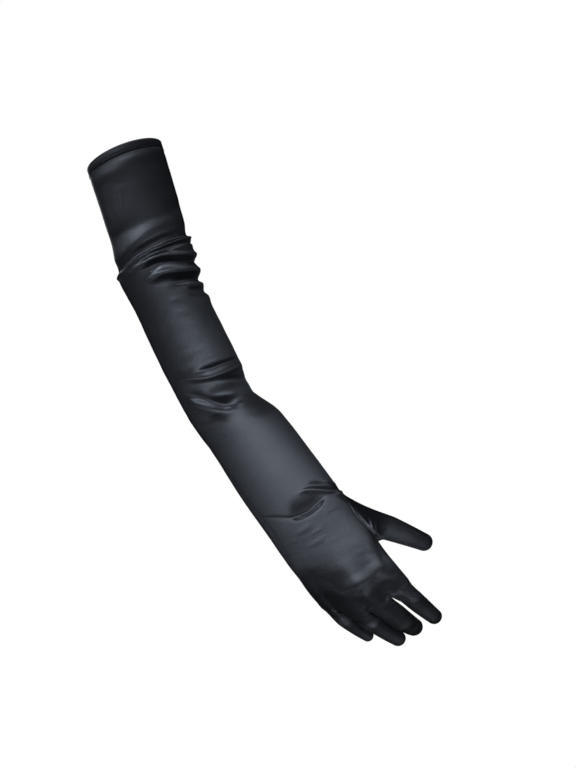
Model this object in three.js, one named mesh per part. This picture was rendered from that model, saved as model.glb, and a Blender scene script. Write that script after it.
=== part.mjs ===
// Long evening glove for the right hand, in stretch satin, with the shape it has on a slightly bent arm.
// Millimetres, +Z up: the sleeve opens upwards at the origin, the fingers hang down, the back of the hand
// faces -Y and the thumb points to +X. Every piece is a wall of cloth round the hollow for the arm.
import * as THREE from "three";

// Driving sizes of the sleeve and the hand.
const SLEEVE_LENGTH = 371; // rim of the sleeve to the crease of the wrist
const HAND_LENGTH = 101; // crease of the wrist to the forks of the fingers
const ARM_WIDTH = 72;
const ARM_DEPTH = 70;
const PALM_WIDTH = 80;
const PALM_DEPTH = 34;

// Driving sizes of the thumb and its hole.
const THUMB_LENGTH = 90; // from the middle of its hole
const THUMB_WIDTH = 31;
const THUMB_HOLE_LENGTH = 50;
const THUMB_HOLE_DROP = 3; // below the crease of the wrist
const THUMB_SINK = 6; // how deep in the hand the thumb's axis starts
const HAND_ARCH = 12; // how far the outer edge of the hand falls back

// Driving sizes of the cloth.
const CLOTH = 1.2;
const HEM_HEIGHT = 8;
const HEM_CLOTH = 2.4; // the rim is turned in and doubled
const HEM_PROUD = 0.4;
const SEAM_GAP = 0.3;
const SHARP_CORNER = 1; // length of the sum of two edge directions past which a seam turns a corner
const SEAM_PULL = 0.65; // share of the gap by which a piece is drawn back, for seams that meet at a corner
const FORK_DIP = 2.5; // valley in the back and the palm above each fork

// The four fingers, from the little finger to the index: length from the fork, width, and angles in degrees.
// yaw leans a finger towards the thumb, pitch tilts it away from the back of the hand at the fork, and
// middle and last are the bends at the two joints after that. taper is the share of the width that is left
// where the tip starts to round, and turn is more yaw towards the tip.
const FINGERS = [
  { name: "little", length: 61, width: 15.5, yaw: 17, turn: 5, pitch: 17, middle: 14, last: 10, taper: 0.72 },
  { name: "ring", length: 74, width: 20, yaw: 22, turn: 0, pitch: 18, middle: 16, last: 10, taper: 0.74 },
  { name: "middle", length: 82, width: 24, yaw: 18, turn: 0, pitch: 24, middle: 32, last: 12, taper: 0.7 },
  { name: "index", length: 68, width: 20.5, yaw: 16, turn: 0, pitch: 20, middle: 20, last: 10, taper: 0.72 },
];
const THUMB = {
  length: THUMB_LENGTH,
  width: THUMB_WIDTH,
  yaw: 39.5,
  turn: -6,
  pitch: 6,
  middle: 8,
  last: 4,
  taper: 0.54,
};
const FINGER_PINCH = 0.25; // how far a finger's sides are drawn in where they leave the hand
const THUMB_PINCH = 0.3;
const FINGER_DEPTH = 0.9; // share of the width
const LOFT = 0.34; // share of a finger over which its foot turns round
const THUMB_LOFT = 0.5;

// Sections of the sleeve. at is a share of SLEEVE_LENGTH; across and wide are shares of ARM_WIDTH; back and
// deep are shares of ARM_DEPTH; lean and pitch tilt the section, in degrees; boxy is 0 for an oval and 1 for
// a flat hand.
const SLEEVE = [
  { at: 0, across: 0, back: 0, wide: 1.02, deep: 0.97, lean: 9, pitch: -11, boxy: 0 },
  { at: 0.127, across: -0.163, back: -0.11, wide: 1.0, deep: 0.97, lean: 12, pitch: -9, boxy: 0 },
  { at: 0.238, across: -0.325, back: -0.19, wide: 0.965, deep: 0.95, lean: 11, pitch: -6, boxy: 0 },
  { at: 0.286, across: -0.401, back: -0.21, wide: 1.0, deep: 0.96, lean: 10, pitch: -3, boxy: 0 },
  { at: 0.362, across: -0.474, back: -0.225, wide: 0.925, deep: 0.94, lean: 7, pitch: 0, boxy: 0 },
  { at: 0.489, across: -0.548, back: -0.23, wide: 0.94, deep: 0.92, lean: 3, pitch: 0, boxy: 0 },
  { at: 0.57, across: -0.586, back: -0.235, wide: 0.937, deep: 0.9, lean: 1, pitch: 0, boxy: 0 },
  { at: 0.664, across: -0.631, back: -0.24, wide: 0.892, deep: 0.88, lean: 0, pitch: 0, boxy: 0.1 },
  { at: 0.745, across: -0.542, back: -0.245, wide: 1.008, deep: 0.82, lean: -1, pitch: 0, boxy: 0.2 },
  { at: 0.869, across: -0.505, back: -0.255, wide: 1.075, deep: 0.73, lean: -2, pitch: 0, boxy: 0.4 },
  { at: 1, across: -0.46, back: -0.27, wide: 1.09, deep: 0.62, lean: -4, pitch: 0, boxy: 0.7 },
];

// Sections of the hand, in the same columns. at is a share of HAND_LENGTH, wide of PALM_WIDTH and deep of
// PALM_DEPTH; across and back are shares of the same two, counted on from the wrist.
const HAND = [
  { at: 0.26, across: 0.022, back: 0, wide: 0.995, deep: 1.16, lean: -3, pitch: 0, boxy: 0.9 },
  { at: 0.45, across: 0.045, back: -0.03, wide: 1.0, deep: 1.04, lean: -2, pitch: 0, boxy: 1 },
  { at: 0.65, across: 0.054, back: -0.05, wide: 1.01, deep: 0.94, lean: 0, pitch: 0, boxy: 1 },
  { at: 0.83, across: 0.072, back: -0.01, wide: 1.03, deep: 0.86, lean: 0, pitch: 10, boxy: 1 },
  { at: 1, across: 0.094, back: 0.26, wide: 1.04, deep: 0.76, lean: 0, pitch: 20, boxy: 1 },
];

// The seams run along columns: the angle in degrees round the section, 90 at the middle of the back, where
// the columns of each finger start, on the back from the little finger's outer edge to the thumb's edge.
// reach is how far, as a share of HAND_LENGTH, the row of forks is pushed on there.
const COLUMNS_EACH = 3;
const FORKS = [
  { angle: 163, reach: -0.19 },
  { angle: 139, reach: -0.135 },
  { angle: 100, reach: 0.01 },
  { angle: 60, reach: -0.01 },
  { angle: 20, reach: 0 },
];
const ARCH_TOP = 0.3; // share across the hand, towards the thumb, where its back stands highest
const FORK_FADE = 0.3; // share of the hand above which the forks' reach is nothing

// Folds of the cloth, ridges or, with a height below 0, valleys. A fold runs from one angle and share of
// SLEEVE_LENGTH to another, its middle bowed up by a share of that length; width and height are in mm.
const FOLDS = [
  { angle: 200, at: 0.232, toAngle: -60, toAt: 0.232, bow: 0.004, width: 7, height: -1.4 },
  { angle: 200, at: 0.275, toAngle: -70, toAt: 0.262, bow: 0.022, width: 4, height: 2.6 },
  { angle: 128, at: 0.283, toAngle: -50, toAt: 0.318, bow: 0.03, width: 4.2, height: 2.8 },
  { angle: 110, at: 0.284, toAngle: -40, toAt: 0.33, bow: 0.012, width: 4, height: -2 },
  { angle: 132, at: 0.306, toAngle: -55, toAt: 0.344, bow: 0.02, width: 4.8, height: 3 },
  { angle: 108, at: 0.32, toAngle: -45, toAt: 0.362, bow: 0.012, width: 4.6, height: -2.2 },
  { angle: 84, at: 0.328, toAngle: -50, toAt: 0.38, bow: 0.008, width: 4.6, height: 2.6 },
  { angle: 72, at: 0.36, toAngle: -40, toAt: 0.4, bow: 0, width: 4.2, height: -1.6 },
  { angle: 68, at: 0.378, toAngle: -45, toAt: 0.415, bow: 0, width: 5, height: 1.8 },
  { angle: 128, at: 0.545, toAngle: -15, toAt: 0.588, bow: -0.006, width: 5, height: -2 },
  { angle: 150, at: 0.545, toAngle: -10, toAt: 0.596, bow: -0.006, width: 5, height: 1.8 },
  { angle: 105, at: 0.588, toAngle: 8, toAt: 0.632, bow: -0.004, width: 5.5, height: -2.4 },
  { angle: 110, at: 0.614, toAngle: 20, toAt: 0.65, bow: 0, width: 6, height: 1.6 },
  { angle: 145, at: 0.585, toAngle: 50, toAt: 0.68, bow: -0.012, width: 5, height: -1.8 },
  { angle: 150, at: 0.6, toAngle: 60, toAt: 0.705, bow: -0.01, width: 6, height: 1.6 },
  { angle: 96, at: 0.93, toAngle: -20, toAt: 1.01, bow: 0.004, width: 4, height: 1.4 },
  { angle: 165, at: 0.95, toAngle: 40, toAt: 0.975, bow: -0.032, width: 4, height: -1.3 },
];
const FOLD_FADE = 0.22; // share of a fold's run over which each end fades out

// Rows of the surface: each stretch ends at a share of the sleeve or the hand and has its own step in mm.
const SLEEVE_ROWS = [
  { to: 0.21, step: 9.8 },
  { to: 0.44, step: 4.1 },
  { to: 0.55, step: 8.5 },
  { to: 0.71, step: 5 },
  { to: 0.93, step: 11.5 },
  { to: 1, step: 6.5 },
];
const HAND_STEP = 8;
const FINGER_ROWS = 7;
const TIP_ROWS = 3;

// The thumb's hole in the grid: first and last column, and where its middle lies among the columns.
const HOLE_FIRST = 13;
const HOLE_LAST = 18;
const HOLE_MIDDLE = 15.1;
const THUMB_RISE = 0.33; // share of the hole above the thumb's axis
const HOLE_SWELL = 1.1;
const HOLE_SPREAD = 2; // the grid is bent round the hole out to this many times its half size

const CLOTH_COLOUR = 0x15161b;
const CLOTH_ROUGHNESS = 0.42;

const rad = THREE.MathUtils.degToRad;
const { abs, cos, exp, hypot, max, min, pow, sign, sin, sqrt } = Math;
const smooth = (t) => THREE.MathUtils.smoothstep(t, 0, 1);
const signedPower = (value, power) => sign(value) * pow(abs(value), power);

// Value of one column of a table at a place, on a smooth curve through the table's rows.
function along(table, column, place) {
  let i = 0;
  while (i < table.length - 2 && table[i + 1].at < place) i += 1;
  const slope = (k) => {
    const before = table[max(k - 1, 0)];
    const after = table[min(k + 1, table.length - 1)];
    return (after[column] - before[column]) / (after.at - before.at);
  };
  const gap = table[i + 1].at - table[i].at;
  const t = (place - table[i].at) / gap;
  return hermite(table[i][column], slope(i) * gap, table[i + 1][column], slope(i + 1) * gap, t);
}

// Cubic from a to b with the slopes da and db at its ends.
function hermite(a, da, b, db, t) {
  const s = 1 - t;
  return a * s * s * (1 + 2 * t) + da * t * s * s + b * t * t * (3 - 2 * t) - db * t * t * s;
}

// The two tables as one run of stations in millimetres.
const WRIST = SLEEVE[SLEEVE.length - 1];
const STATIONS = [
  ...SLEEVE.map((row) => ({
    ...row,
    at: row.at * SLEEVE_LENGTH,
    across: row.across * ARM_WIDTH,
    back: row.back * ARM_DEPTH,
    wide: row.wide * ARM_WIDTH,
    deep: row.deep * ARM_DEPTH,
  })),
  ...HAND.map((row) => ({
    ...row,
    at: SLEEVE_LENGTH + row.at * HAND_LENGTH,
    across: WRIST.across * ARM_WIDTH + row.across * PALM_WIDTH,
    back: WRIST.back * ARM_DEPTH + row.back * PALM_DEPTH,
    wide: row.wide * PALM_WIDTH,
    deep: row.deep * PALM_DEPTH,
  })),
];
const TRUNK_LENGTH = SLEEVE_LENGTH + HAND_LENGTH;

// Columns round the section: the back of four fingers, the thumb's side, the palm of four, the outer side.
const SIDES = [
  ...FORKS.map((fork) => fork.angle),
  ...FORKS.map((fork) => -fork.angle).reverse(),
  FORKS[0].angle - 360,
];
const COLUMNS = (SIDES.length - 1) * COLUMNS_EACH;

function columnAngle(column) {
  const i = min(Math.floor(column / COLUMNS_EACH), SIDES.length - 2);
  return rad(SIDES[i] + (SIDES[i + 1] - SIDES[i]) * (column / COLUMNS_EACH - i));
}

// How far the row of forks is pushed on at an angle, the same on the back and in the palm.
const REACH = FORKS.map((fork) => ({ at: -fork.angle, reach: fork.reach }));
function forkReach(angle) {
  const place = -THREE.MathUtils.radToDeg(Math.acos(cos(angle)));
  const kept = min(max(place, REACH[0].at), REACH[REACH.length - 1].at);
  return along(REACH, "reach", kept) * HAND_LENGTH;
}

// A point of the sleeve and the hand: an oval on a tilted section, raised by the folds, and pushed on towards
// the forks. In the hand the oval gets a flatter back and palm, and narrower sides.
const FLAT_BACK = 0.25;
const NARROW_SIDES = 0.15;
function trunkPoint(column, down) {
  const angle = columnAngle(column);
  const value = (name) => along(STATIONS, name, down);
  const boxy = value("boxy");
  const across = (signedPower(cos(angle), 1 + NARROW_SIDES * boxy) * value("wide")) / 2;
  const lean = rad(value("lean"));
  const pitch = rad(value("pitch"));
  const nearFork = smooth(((down - SLEEVE_LENGTH) / HAND_LENGTH - FORK_FADE) / (1 - FORK_FADE));
  const dip = FORK_DIP * pow(nearFork, 2) * forkValley(column) * sign(sin(angle));
  const out = (signedPower(sin(angle), 1 - FLAT_BACK * boxy) * value("deep")) / 2 - dip;
  const arch = HAND_ARCH * nearFork * pow((cos(angle) - ARCH_TOP) / (1 + ARCH_TOP), 2);
  const fold = foldHeight(THREE.MathUtils.radToDeg(angle), down);
  return new THREE.Vector3(
    value("across") + cos(lean) * (across + fold * cos(angle)),
    value("back") - cos(pitch) * (out + fold * sin(angle)) + arch,
    -down - sin(lean) * across - sin(pitch) * out - nearFork * forkReach(angle),
  );
}

// Height of all folds at an angle in degrees and a distance down: each is a rounded ridge or a valley along a
// bowed line that crosses the sleeve from its outer side to the thumb's side.
function foldHeight(angle, down) {
  return FOLDS.reduce((sum, fold) => {
    const u = (fold.angle - angle) / (fold.angle - fold.toAngle);
    if (u <= 0 || u >= 1) return sum;
    const line = fold.at + (fold.toAt - fold.at) * u - fold.bow * 4 * u * (1 - u);
    const off = (down - line * SLEEVE_LENGTH) / fold.width;
    return sum + fold.height * exp(-off * off) * smooth(min(u, 1 - u) / FOLD_FADE);
  }, 0);
}

// 1 on the columns of the three forks, 0 half way between them and on the outer sides.
function forkValley(column) {
  const finger = column / COLUMNS_EACH;
  const inBack = finger > 0.5 && finger < 3.5;
  const inPalm = finger > 5.5 && finger < 8.5;
  return inBack || inPalm ? pow(cos(Math.PI * finger), 2) : 0;
}

// How far down each row lies, from the rim to the forks. The thumb's hole starts and ends on a row.
const HOLE_TOP = SLEEVE_LENGTH + THUMB_HOLE_DROP;
const HOLE_BOTTOM = HOLE_TOP + THUMB_HOLE_LENGTH;
const rowDowns = [0, HEM_HEIGHT];
function addRows(to, step) {
  const from = rowDowns[rowDowns.length - 1];
  const count = max(1, Math.round((to - from) / step));
  for (let i = 1; i < count; i += 1) rowDowns.push(from + ((to - from) * i) / count);
  return rowDowns.push(to) - 1;
}
SLEEVE_ROWS.forEach((stretch) => addRows(stretch.to * SLEEVE_LENGTH, stretch.step));
const firstHoleRow = addRows(HOLE_TOP, HAND_STEP);
const lastHoleRow = addRows(HOLE_BOTTOM, HAND_STEP);
addRows(TRUNK_LENGTH, HAND_STEP);

// Bends the grid round the thumb's hole, so that a rectangle of the grid becomes an oval.
const HOLE_CENTRE = { column: (HOLE_FIRST + HOLE_LAST) / 2, down: (HOLE_TOP + HOLE_BOTTOM) / 2 };
const HOLE_HALF = { column: (HOLE_LAST - HOLE_FIRST) / 2, down: THUMB_HOLE_LENGTH / 2 };
const fromHole = (column, down) => [
  (column - HOLE_CENTRE.column) / HOLE_HALF.column,
  (down - HOLE_CENTRE.down) / HOLE_HALF.down,
];
function bentRoundHole(column, down) {
  const [a, b] = fromHole(column, down);
  const square = max(abs(a), abs(b));
  if (square >= HOLE_SPREAD) return [column, down];
  const ease = smooth((HOLE_SPREAD - square) / (HOLE_SPREAD - 1));
  const oval = 1 + ease * ((HOLE_SWELL * square) / hypot(a, b) - 1);
  const middle = HOLE_CENTRE.column + ease * (HOLE_MIDDLE - HOLE_CENTRE.column);
  return [middle + a * oval * HOLE_HALF.column, HOLE_CENTRE.down + b * oval * HOLE_HALF.down];
}

// The axis of a finger from its foot: place and the directions ahead, to the thumb's side and to the back.
const AXIS_STEPS = 60;
const MIDDLE_JOINT = 0.42;
const LAST_JOINT = 0.72;
const JOINT_SPREAD = 0.1;
function fingerAxis(finger, foot, t) {
  const place = foot.clone();
  const at = (share) => {
    const bend = (joint) => smooth((share - joint + JOINT_SPREAD) / (2 * JOINT_SPREAD));
    const pitch = rad(finger.pitch + finger.middle * bend(MIDDLE_JOINT) + finger.last * bend(LAST_JOINT));
    const yaw = rad(finger.yaw + finger.turn * share);
    const ahead = new THREE.Vector3(sin(yaw) * cos(pitch), sin(pitch), -cos(yaw) * cos(pitch));
    const side = new THREE.Vector3(cos(yaw), 0, sin(yaw));
    return { ahead, side, back: new THREE.Vector3().crossVectors(ahead, side) };
  };
  for (let i = 0; i < AXIS_STEPS; i += 1) {
    place.addScaledVector(at((t * (i + 0.5)) / AXIS_STEPS).ahead, (t * finger.length) / AXIS_STEPS);
  }
  return { place, ...at(t) };
}

// A point of a finger's tube at the share t of its length: an oval that tapers and closes in a round tip.
function fingerPoint(finger, foot, t, angle) {
  const tip = tipStart(finger);
  const { place, side, back } = fingerAxis(finger, foot, t);
  const taper = 1 + (finger.taper - 1) * min(t / tip, 1);
  const round = t > tip ? sqrt(max(0, 1 - pow((t - tip) / (1 - tip), 2))) : 1;
  const half = (finger.width * taper * round) / 2;
  place.addScaledVector(side, half * cos(angle));
  return place.addScaledVector(back, half * FINGER_DEPTH * sin(angle));
}
const tipStart = (finger) => 1 - (0.5 * finger.taper * finger.width) / finger.length;

// From a point of the foot's ring to the tube: leaves along the hand, its sides drawn in by a pinch, and
// arrives along the finger at the loft's share of its length.
function loftPoint(finger, foot, start, loft, t, angle) {
  if (t >= loft.share) return fingerPoint(finger, foot, t, angle);
  const end = fingerPoint(finger, foot, loft.share, angle);
  const reach = start.distanceTo(end);
  const leave = loft.leave.clone();
  leave.addScaledVector(fingerAxis(finger, foot, 0).side, -loft.pinch * cos(angle));
  const arrive = fingerAxis(finger, foot, loft.share).ahead;
  const mix = (axis) =>
    hermite(start[axis], leave[axis] * reach, end[axis], arrive[axis] * reach, t / loft.share);
  return new THREE.Vector3(mix("x"), mix("y"), mix("z"));
}

// The whole outer surface, as points and faces. A face names the piece that it belongs to.
const points = [];
const faces = [];
const addPoint = (point) => points.push(point) - 1;
const addFace = (piece, ...corners) => faces.push({ piece, corners });

// Shares of a finger's length where its rows lie: even over the tube, then closing in on the tip.
function fingerRows(finger) {
  const tip = tipStart(finger);
  const tube = Array.from({ length: FINGER_ROWS }, (_, i) => (tip * (i + 1)) / FINGER_ROWS);
  const dome = Array.from({ length: TIP_ROWS }, (_, i) => sin(rad((90 * (i + 1)) / (TIP_ROWS + 1))));
  return [...tube, ...dome.map((share) => tip + (1 - tip) * share)];
}

// Skins a finger from the ring of points at its foot. pieceAt names the piece of each column and row.
function addFinger(finger, foot, ring, angles, loft, pieceAt) {
  let last = ring;
  fingerRows(finger).forEach((t, row) => {
    const skinPoint = (start, k) => loftPoint(finger, foot, points[start], loft, t, angles[k]);
    const next = ring.map((start, k) => addPoint(skinPoint(start, k)));
    next.forEach((_, k) => {
      const after = (k + 1) % ring.length;
      addFace(pieceAt(k, row), last[k], next[k], next[after], last[after]);
    });
    last = next;
  });
  const end = addPoint(fingerPoint(finger, foot, 1, 0));
  last.forEach((_, k) => addFace(pieceAt(k, FINGER_ROWS), last[k], end, last[(k + 1) % ring.length]));
}

// The sleeve and the hand, with the hole left open for the thumb.
const grid = rowDowns.map((down, row) =>
  Array.from({ length: COLUMNS }, (_, column) => {
    const inHole = row > firstHoleRow && row < lastHoleRow && column > HOLE_FIRST && column < HOLE_LAST;
    return inHole ? -1 : addPoint(trunkPoint(...bentRoundHole(column, down)));
  }),
);
for (let row = 0; row < grid.length - 1; row += 1) {
  const [upper, lower] = [grid[row], grid[row + 1]];
  for (let column = 0; column < COLUMNS; column += 1) {
    const inHole = row >= firstHoleRow && row < lastHoleRow && column >= HOLE_FIRST && column < HOLE_LAST;
    const after = (column + 1) % COLUMNS;
    const piece = row === 0 ? "top_hem" : "trank";
    if (!inHole) addFace(piece, upper[column], lower[column], lower[after], upper[after]);
  }
}

// Between two fingers the cloth of the fork runs from the back to the palm.
const forkRow = grid[grid.length - 1];
const backColumn = (fork) => fork * COLUMNS_EACH;
const palmColumn = (fork) => COLUMNS - COLUMNS_EACH * (fork + 1);
const webs = FORKS.map((_, fork) => {
  const outer = fork === 0 || fork === FORKS.length - 1;
  const ends = [points[forkRow[backColumn(fork)]], points[forkRow[palmColumn(fork)]]];
  return Array.from({ length: COLUMNS_EACH - 1 }, (_, i) => {
    if (fork === 0) return forkRow[COLUMNS - 1 - i];
    if (outer) return forkRow[backColumn(fork) + 1 + i];
    return addPoint(ends[0].clone().lerp(ends[1], (i + 1) / COLUMNS_EACH));
  });
});

// The fingers: each foot's ring is its back, the side towards the thumb, its palm and the outer side.
const CORNERS = [140, 40, -40, -140, -220];
const fingerAngles = Array.from({ length: 4 * COLUMNS_EACH }, (_, k) => {
  const i = Math.floor(k / COLUMNS_EACH);
  return rad(CORNERS[i] + ((CORNERS[i + 1] - CORNERS[i]) * (k % COLUMNS_EACH)) / COLUMNS_EACH);
});
FINGERS.forEach((finger, i) => {
  const ring = [
    ...forkRow.slice(backColumn(i), backColumn(i + 1) + 1),
    ...webs[i + 1],
    ...forkRow.slice(palmColumn(i + 1), palmColumn(i) + 1),
    ...[...webs[i]].reverse(),
  ];
  const foot = ring.reduce((sum, k) => sum.add(points[k]), new THREE.Vector3()).divideScalar(ring.length);
  const leave = fingerAxis({ ...finger, yaw: finger.yaw / 2 }, foot, 0).ahead;
  addFinger(finger, foot, ring, fingerAngles, { leave, share: LOFT, pinch: FINGER_PINCH }, (k, row) => {
    const side = Math.floor(k / COLUMNS_EACH);
    const fork = side === 1 ? i : i - 1;
    const atFork = side % 2 === 1 && fork >= 0 && fork < FINGERS.length - 1;
    if (!atFork || row >= FINGER_ROWS) return "trank";
    return `fourchette_${FINGERS[fork + 1].name}_${FINGERS[fork].name}`;
  });
});

// The thumb, set into the oval hole from the edge of its ring round to the same point again.
const holeRing = [
  ...Array.from({ length: HOLE_LAST - HOLE_FIRST }, (_, i) => [firstHoleRow, HOLE_FIRST + i]),
  ...Array.from({ length: lastHoleRow - firstHoleRow }, (_, i) => [firstHoleRow + i, HOLE_LAST]),
  ...Array.from({ length: HOLE_LAST - HOLE_FIRST }, (_, i) => [lastHoleRow, HOLE_LAST - i]),
  ...Array.from({ length: lastHoleRow - firstHoleRow }, (_, i) => [lastHoleRow - i, HOLE_FIRST]),
];
const thumbAngles = holeRing.map(([row, column]) => {
  const [a, b] = fromHole(column, rowDowns[row]);
  return Math.atan2(-a, -b);
});
const thumbRing = holeRing.map(([row, column]) => grid[row][column]);
const thumbFoot = trunkPoint(HOLE_MIDDLE, HOLE_TOP + THUMB_RISE * THUMB_HOLE_LENGTH);
thumbFoot.x -= THUMB_SINK;
const thumbLoft = { leave: fingerAxis(THUMB, thumbFoot, 0).ahead, share: THUMB_LOFT, pinch: THUMB_PINCH };
addFinger(THUMB, thumbFoot, thumbRing, thumbAngles, thumbLoft, () => "thumb");

// Normals of the whole surface, so that neighbouring pieces keep one skin. A face of four corners gives the
// product of its diagonals, one of three corners the product of two edges.
const faceNormal = (corners) => {
  const [a, b, c, d = a] = corners.map((k) => points[k]);
  return new THREE.Vector3().crossVectors(c.clone().sub(a), d.clone().sub(b));
};
const normals = points.map(() => new THREE.Vector3());
for (const face of faces) {
  const normal = faceNormal(face.corners);
  face.corners.forEach((k) => normals[k].add(normal));
}
normals.forEach((normal) => normal.normalize());

// One piece as a closed wall: its faces outside, the same faces set in by its thickness, and edges closed.
// Along each seam the points are drawn back into the piece, so that the pieces keep SEAM_GAP between them.
function wallGeometry(piece, thickness, proud) {
  const own = faces.filter((face) => face.piece === piece);
  const edges = new Map();
  const pulls = new Map();
  const faceCounts = new Map();
  for (const { corners } of own) {
    const centre = corners.reduce((sum, k) => sum.add(points[k]), new THREE.Vector3());
    centre.divideScalar(corners.length);
    corners.forEach((a, i) => {
      const b = corners[(i + 1) % corners.length];
      if (!edges.delete(`${b} ${a}`)) edges.set(`${a} ${b}`, [a, b]);
      const pull = pulls.get(a) ?? new THREE.Vector3();
      pulls.set(a, pull.add(centre.clone().sub(points[a]).normalize()));
      faceCounts.set(a, (faceCounts.get(a) ?? 0) + 1);
    });
  }
  // Where the edge turns a corner, the pull halves the angle between its two edges, into the piece.
  const turns = new Map();
  for (const [a, b] of edges.values()) {
    const ahead = points[b].clone().sub(points[a]).normalize();
    turns.set(a, (turns.get(a) ?? new THREE.Vector3()).add(ahead));
    turns.set(b, (turns.get(b) ?? new THREE.Vector3()).sub(ahead));
  }
  const outer = new Map();
  const vertices = [];
  for (const [k, pull] of pulls) {
    const place = points[k].clone().addScaledVector(normals[k], proud);
    const turn = turns.get(k);
    if (turn) {
      if (turn.length() > SHARP_CORNER) pull.copy(turn).multiplyScalar(faceCounts.get(k) > 2 ? -1 : 1);
      pull.addScaledVector(normals[k], -pull.dot(normals[k])).normalize();
      place.addScaledVector(pull, SEAM_PULL * SEAM_GAP);
    }
    outer.set(k, vertices.length / 3);
    const inner = place.clone().addScaledVector(normals[k], -thickness);
    vertices.push(...place.toArray(), ...inner.toArray());
  }
  const triangles = [];
  const fan = (ring) => ring.slice(2).forEach((_, i) => triangles.push(ring[0], ring[i + 1], ring[i + 2]));
  for (const { corners } of own) {
    const [first, ...rest] = corners.map((k) => outer.get(k));
    fan([first, ...rest]);
    fan([first, ...rest.reverse()].map((k) => k + 1));
  }
  // Both sides of a seam split their edge faces along the same diagonal.
  for (const [a, b] of edges.values()) {
    const [oa, ob] = [outer.get(a), outer.get(b)];
    fan(a < b ? [oa, oa + 1, ob + 1, ob] : [ob, oa, oa + 1, ob + 1]);
  }
  const geometry = new THREE.BufferGeometry();
  geometry.setAttribute("position", new THREE.Float32BufferAttribute(vertices, 3));
  geometry.setIndex(triangles);
  geometry.computeVertexNormals();
  return geometry;
}

const glove = new THREE.Group();
for (const piece of new Set(faces.map((face) => face.piece))) {
  const hem = piece === "top_hem";
  const satin = new THREE.MeshStandardMaterial({
    color: CLOTH_COLOUR,
    roughness: CLOTH_ROUGHNESS,
    metalness: 0,
  });
  const mesh = new THREE.Mesh(wallGeometry(piece, hem ? HEM_CLOTH : CLOTH, hem ? HEM_PROUD : 0), satin);
  mesh.name = piece;
  glove.add(mesh);
}

export default glove;
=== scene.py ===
"""Looks of the long evening glove: cloth skins with folds, seams and satin, a pale studio and the camera.

All shapes are worked out in millimetres with +Z up the arm, -Y out of the back of the hand and +X towards the
thumb, and go into Blender in metres.
"""

import logging
import math
from dataclasses import dataclass, fields, replace
from enum import Enum
from typing import Any, Sequence

import bpy
import numpy as np
from mathutils import Matrix, Vector
from mathutils.bvhtree import BVHTree
from mathutils.kdtree import KDTree


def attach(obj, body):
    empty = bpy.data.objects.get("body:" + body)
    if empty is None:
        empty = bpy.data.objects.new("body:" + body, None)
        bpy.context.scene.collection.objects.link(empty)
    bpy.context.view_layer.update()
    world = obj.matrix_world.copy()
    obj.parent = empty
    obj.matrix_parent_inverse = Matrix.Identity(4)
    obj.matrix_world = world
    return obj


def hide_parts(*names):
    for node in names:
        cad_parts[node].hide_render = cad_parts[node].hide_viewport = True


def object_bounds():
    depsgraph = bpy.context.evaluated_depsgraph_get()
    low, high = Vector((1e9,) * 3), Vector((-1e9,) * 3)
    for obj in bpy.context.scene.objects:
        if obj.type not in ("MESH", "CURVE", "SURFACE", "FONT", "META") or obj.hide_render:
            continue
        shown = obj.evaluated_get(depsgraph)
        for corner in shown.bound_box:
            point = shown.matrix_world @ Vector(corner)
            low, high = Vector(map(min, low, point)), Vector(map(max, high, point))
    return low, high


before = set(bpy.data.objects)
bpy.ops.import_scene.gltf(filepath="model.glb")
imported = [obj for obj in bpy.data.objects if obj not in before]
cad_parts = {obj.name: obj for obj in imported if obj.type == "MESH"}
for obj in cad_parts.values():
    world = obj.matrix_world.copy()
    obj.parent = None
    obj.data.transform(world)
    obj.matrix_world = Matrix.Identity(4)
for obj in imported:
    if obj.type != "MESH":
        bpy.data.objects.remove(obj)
cad_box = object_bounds()

logging.basicConfig(level=logging.INFO, format="%(message)s")
log = logging.getLogger("glove")

Array = np.ndarray
MM = 0.001


class Piece(Enum):
    """The pieces of cloth, named as their CAD nodes, with the number that marks their faces."""

    trank = 0
    top_hem = 1
    thumb = 2
    fourchette_ring_little = 3
    fourchette_middle_ring = 4
    fourchette_index_middle = 5


class Slot(Enum):
    """The material slots, named as the two satin materials."""

    satin = "satin"
    hem_satin = "hem_satin"


@dataclass(frozen=True)
class Section:
    """One section of the sleeve or the hand, in shares of the named sizes and degrees."""

    at: float
    across: float
    back: float
    wide: float
    deep: float
    lean: float
    pitch: float
    boxy: float


@dataclass(frozen=True)
class Fork:
    """Where a seam between two fingers meets the hand: angle round the section and push along it."""

    angle: float
    reach: float


@dataclass(frozen=True)
class Finger:
    """A finger's length and width in mm, its angles in degrees, and its shares."""

    length: float
    width: float
    yaw: float
    turn: float
    pitch: float
    middle: float
    last: float
    taper: float
    pinch: float = 0.25
    loft: float = 0.34


@dataclass(frozen=True)
class Fold:
    """A ridge, or with a height below 0 a valley, along a line as seen from the front.

    points are x and z in the photo's plane in mm, from left to right. above and below are the widths of its
    two flanks. fade is the share of its length in which each end fades, and wrap how many degrees it goes on
    round the arm past its left and its right end.
    """

    points: Sequence[tuple[float, float]]
    height: float
    above: float
    below: float
    fade: float = 0.25
    wrap: tuple[float, float] = (0.0, 0.0)


@dataclass(frozen=True)
class Roughening:
    """How high the fine uneven wrinkles stand at a distance down from the rim, both in mm."""

    down: float
    height: float


@dataclass(frozen=True)
class Wrinkles:
    """A layer of fine wrinkles: size round the arm and down it in mm, lean, share and random seed."""

    across: float
    down: float
    lean: float
    share: float
    seed: int


@dataclass(frozen=True)
class Stitch:
    """A stitch of the hem: sizes in mm, rings and sides of its mesh, and how blunt and thin its ends are."""

    pitch: float = 3.0
    length: float = 2.1
    radius: float = 0.2
    height: float = 0.65
    arch: float = 0.2
    rings: int = 7
    sides: int = 8
    bluntness: int = 6
    thinnest: float = 0.02


@dataclass(frozen=True)
class Wall:
    """How a piece is made thick."""

    thickness: float
    proud: float
    edge_gap: float


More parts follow.
